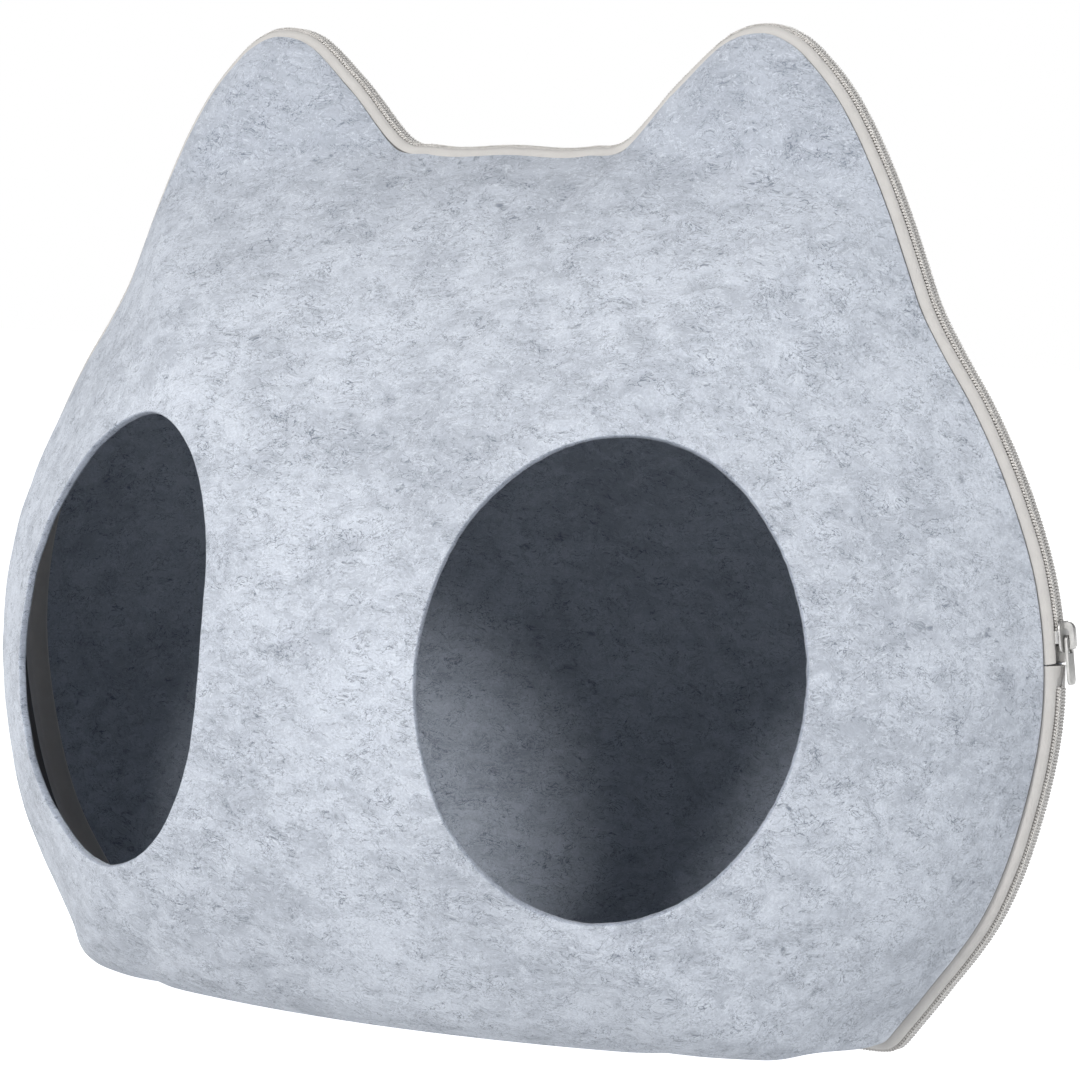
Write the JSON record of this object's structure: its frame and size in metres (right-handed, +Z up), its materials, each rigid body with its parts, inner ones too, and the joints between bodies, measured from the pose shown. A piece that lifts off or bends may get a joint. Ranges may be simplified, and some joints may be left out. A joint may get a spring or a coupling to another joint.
{
  "type": "cat bed",
  "caption": "Moulded felt cave bed in the form of a cat's head, with ears, oval eye openings in the front half and a zip round the rim.",
  "frame": {"origin": "middle of the flat base on the floor, in the plane of the zip", "axes": "+X across the head towards the zip's slider, +Y to the back, +Z up; the face looks towards -Y"},
  "size_m": [0.5033, 0.2952, 0.3998],
  "materials": {
    "felt_front": "needled felt, mottled pale blue-grey",
    "felt_back": "needled felt, mottled pale blue-grey",
    "tape_front": "fine woven zip tape, beige",
    "tape_back": "fine woven zip tape, beige",
    "coil_front": "beige monofilament coil",
    "coil_back": "beige monofilament coil",
    "slider_metal": "satin nickel plate",
    "pull_metal": "satin nickel plate"
  },
  "bodies": {
    "root": {"front_shell": "felt_front", "back_shell": "felt_back", "zip_tape_front": "tape_front", "zip_tape_back": "tape_back", "zip_coil_front": "coil_front", "zip_coil_back": "coil_back", "zip_slider": "slider_metal", "zip_pull": "pull_metal"}
  },
  "joints": []
}
